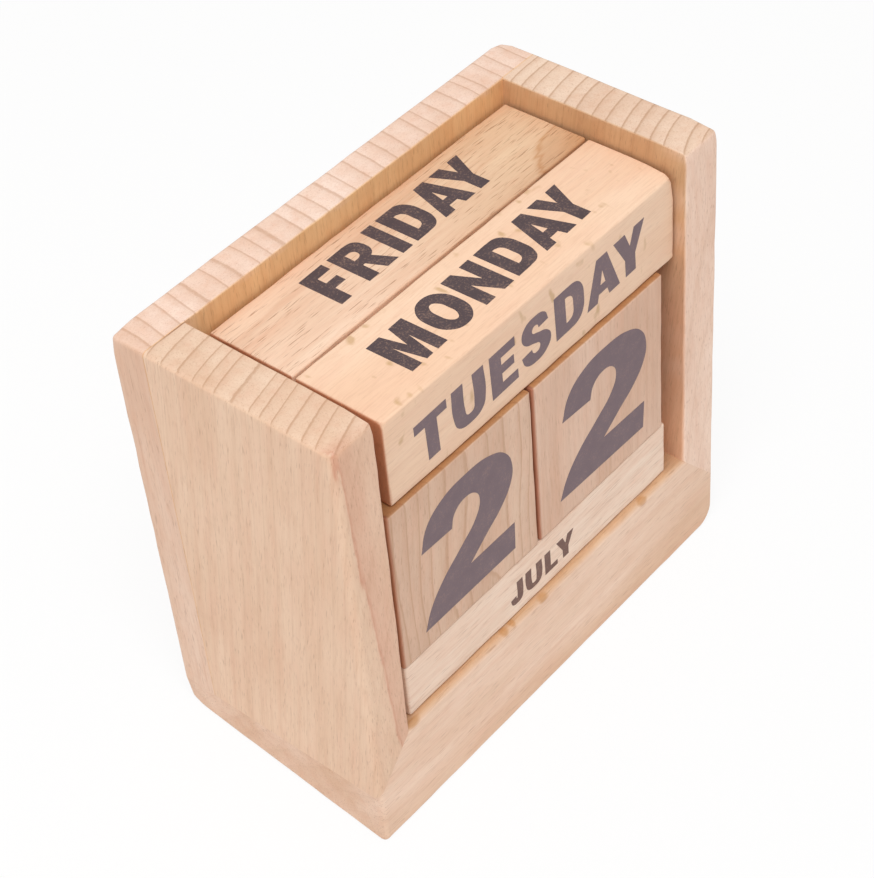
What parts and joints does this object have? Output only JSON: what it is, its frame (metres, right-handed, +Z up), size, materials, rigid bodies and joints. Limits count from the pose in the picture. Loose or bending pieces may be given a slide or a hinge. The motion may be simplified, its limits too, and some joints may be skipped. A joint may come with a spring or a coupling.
{
  "type": "perpetual desk calendar",
  "caption": "Leaning open-front wooden case holding loose square blocks: number cubes, weekday bars and month bars.",
  "frame": {"origin": "middle of the calendar's overall footprint, on the desk under its flat underside", "axes": "+Z up, +Y to the back, +X to the right as seen from the front; the case leans 7.5 degrees towards +Y"},
  "size_m": [0.102, 0.0612, 0.0969],
  "materials": {
    "base_beech": "bare, fine sanded",
    "case_beech": "bare, fine sanded",
    "dowel_beech": "bare, glued in",
    "block_beech": "bare, fine sanded, printed with dark ink"
  },
  "bodies": {
    "case": {"base_board": "base_beech", "left_side": "case_beech", "right_side": "case_beech", "back_panel": "case_beech", "joint_dowels": "dowel_beech"},
    "rear_day_bar": {"rear_day_bar": "block_beech"},
    "front_day_bar": {"front_day_bar": "block_beech"},
    "tens_cube": {"tens_cube": "block_beech"},
    "units_cube": {"units_cube": "block_beech"},
    "rear_month_bar": {"rear_month_bar": "block_beech"},
    "middle_month_bar": {"middle_month_bar": "block_beech"},
    "front_month_bar": {"front_month_bar": "block_beech"}
  },
  "joints": [
    {"name": "rear_day_bar_lift", "type": "slide", "parent": "case", "child": "rear_day_bar", "axis": [0, 0.1305, 0.9914], "range_m": [0, 0.03]},
    {"name": "front_day_bar_pull", "type": "slide", "parent": "case", "child": "front_day_bar", "axis": [0, -0.9914, 0.1305], "range_m": [0, 0.045]},
    {"name": "tens_cube_pull", "type": "slide", "parent": "case", "child": "tens_cube", "axis": [0, -0.9914, 0.1305], "range_m": [0, 0.045]},
    {"name": "units_cube_pull", "type": "slide", "parent": "case", "child": "units_cube", "axis": [0, -0.9914, 0.1305], "range_m": [0, 0.045]},
    {"name": "rear_month_bar_pull", "type": "slide", "parent": "case", "child": "rear_month_bar", "axis": [0, -0.9914, 0.1305], "range_m": [0, 0.045]},
    {"name": "middle_month_bar_pull", "type": "slide", "parent": "rear_month_bar", "child": "middle_month_bar", "axis": [0, -0.9914, 0.1305], "range_m": [0, 0.045]},
    {"name": "front_month_bar_pull", "type": "slide", "parent": "middle_month_bar", "child": "front_month_bar", "axis": [0, -0.9914, 0.1305], "range_m": [0, 0.045]}
  ]
}
